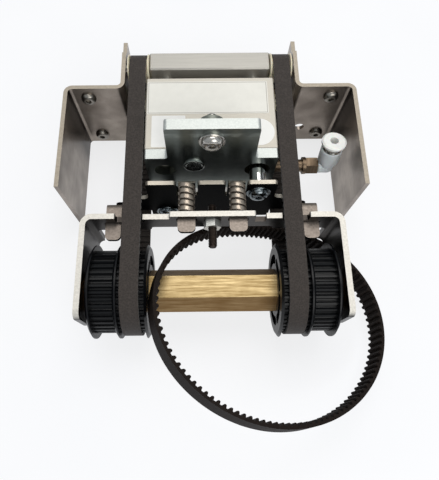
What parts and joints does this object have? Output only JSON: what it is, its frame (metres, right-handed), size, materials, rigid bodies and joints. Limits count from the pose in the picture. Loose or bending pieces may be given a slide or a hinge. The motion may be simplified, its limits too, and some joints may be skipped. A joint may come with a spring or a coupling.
{
  "type": "pneumatic lift and cross travel unit",
  "caption": "Pneumatic lift and cross travel unit of a pallet conveyor: toothed belts on a lifting carriage between bent side brackets, driven by a hexagonal shaft in a sprung yoke.",
  "frame": {"origin": "centre of the four flange screws, on the seating face of the side brackets' flanges", "axes": "+X along the drive shaft to the fitting's side, +Y the lift direction, +Z from the back (down in the picture) to the front with the tongue"},
  "size_m": [0.1531, 0.1866, 0.0728],
  "materials": {
    "stainless_sheet": "brushed sheet with bright cut edges",
    "yoke_sheet": "brushed sheet with bright cut edges",
    "dark_sheet": "darkened sheet with bare cut edges",
    "zinc_plate": "zinc plated",
    "screw_steel": "zinc plated",
    "dark_screw": "blackened",
    "block_aluminium": "bead blasted",
    "bar_aluminium": "milled",
    "rod_chrome": "hard chromed, polished",
    "piston_metal": "turned",
    "bush_bronze": "sintered bronze",
    "shaft_brass": "drawn bar",
    "spring_wire": "drawn wire",
    "belt_rubber": "fabric faced",
    "loose_rubber": "moulded, satin",
    "seal_rubber": "smooth",
    "pulley_plastic": "moulded black",
    "idler_plastic": "natural cream",
    "nickel": "nickel plated brass",
    "grey_plastic": "moulded",
    "white_plastic": "moulded"
  },
  "bodies": {
    "frame": {"right_bracket": "stainless_sheet", "left_bracket": "stainless_sheet", "flange_screws": "screw_steel", "block_screws": "screw_steel", "cylinder_block": "block_aluminium", "rod_bushes": "bush_bronze", "mounting_plate": "zinc_plate", "plate_screws": "screw_steel", "plate_plug": "zinc_plate", "tongue_screw": "screw_steel", "slot_nut": "zinc_plate", "port_extension": "nickel", "fitting_stud": "nickel"},
    "carriage": {"top_bar": "bar_aluminium", "bar_screws": "screw_steel", "guide_rod_right": "rod_chrome", "guide_rod_left": "rod_chrome", "guide_rod_rear": "rod_chrome", "piston_rod": "rod_chrome", "piston": "piston_metal", "piston_seal": "seal_rubber", "crosshead": "dark_sheet", "crosshead_screws": "screw_steel", "left_spring": "spring_wire", "right_spring": "spring_wire", "idler_pins": "rod_chrome", "right_belt": "belt_rubber", "left_belt": "belt_rubber"},
    "tension_yoke": {"yoke": "yoke_sheet", "stop_screw": "dark_screw", "stop_nut": "screw_steel", "shaft_bushes": "bush_bronze"},
    "shaft": {"drive_shaft": "shaft_brass", "shaft_clips": "screw_steel", "right_transport_pulley": "pulley_plastic", "left_transport_pulley": "pulley_plastic", "right_input_pulley": "pulley_plastic", "left_input_pulley": "pulley_plastic"},
    "right_front_roller": {"right_front_idler": "idler_plastic"},
    "right_rear_roller": {"right_rear_idler": "idler_plastic"},
    "left_front_roller": {"left_front_idler": "idler_plastic"},
    "left_rear_roller": {"left_rear_idler": "idler_plastic"},
    "elbow": {"fitting_elbow": "grey_plastic", "fitting_ring": "nickel"},
    "collar": {"release_collar": "white_plastic"},
    "spare_ring": {"loose_belt": "loose_rubber"}
  },
  "joints": [
    {"name": "lift", "type": "slide", "parent": "frame", "child": "carriage", "axis": [0, 1, 0], "range_m": [0, 0.008]},
    {"name": "belt_tension", "type": "slide", "parent": "carriage", "child": "tension_yoke", "axis": [0, 1, 0], "range_m": [0, 0.002], "stiffness_N_per_m": 4000, "springref_m": -0.004, "deforming": ["left_spring", "right_spring"]},
    {"name": "shaft_spin", "type": "hinge", "parent": "tension_yoke", "child": "shaft", "pos_m": [0, -0.0985, 0.005], "axis": [1, 0, 0], "continuous": true},
    {"name": "right_front_spin", "type": "hinge", "parent": "carriage", "child": "right_front_roller", "pos_m": [0, 0.0135, 0.01785], "axis": [1, 0, 0], "continuous": true},
    {"name": "right_rear_spin", "type": "hinge", "parent": "carriage", "child": "right_rear_roller", "pos_m": [0, 0.0135, -0.00785], "axis": [1, 0, 0], "continuous": true},
    {"name": "left_front_spin", "type": "hinge", "parent": "carriage", "child": "left_front_roller", "pos_m": [0, 0.0135, 0.01785], "axis": [1, 0, 0], "continuous": true},
    {"name": "left_rear_spin", "type": "hinge", "parent": "carriage", "child": "left_rear_roller", "pos_m": [0, 0.0135, -0.00785], "axis": [1, 0, 0], "continuous": true},
    {"name": "elbow_swivel", "type": "hinge", "parent": "frame", "child": "elbow", "pos_m": [0.0602, -0.0315, -0.0014], "axis": [1, 0, 0], "continuous": true},
    {"name": "collar_press", "type": "slide", "parent": "elbow", "child": "collar", "axis": [0, -0.2079, -0.9781], "range_m": [0, 0.0015], "stiffness_N_per_m": 300},
    {"name": "spare_ring_slide", "type": "slide", "parent": "tension_yoke", "child": "spare_ring", "axis": [1, 0, 0], "range_m": [0, 0.002]}
  ],
  "couplings": [
    {"joint": "right_front_spin", "follows": "shaft_spin", "ratio": 3.0558},
    {"joint": "right_rear_spin", "follows": "shaft_spin", "ratio": 3.0558},
    {"joint": "left_front_spin", "follows": "shaft_spin", "ratio": 3.0558},
    {"joint": "left_rear_spin", "follows": "shaft_spin", "ratio": 3.0558}
  ]
}
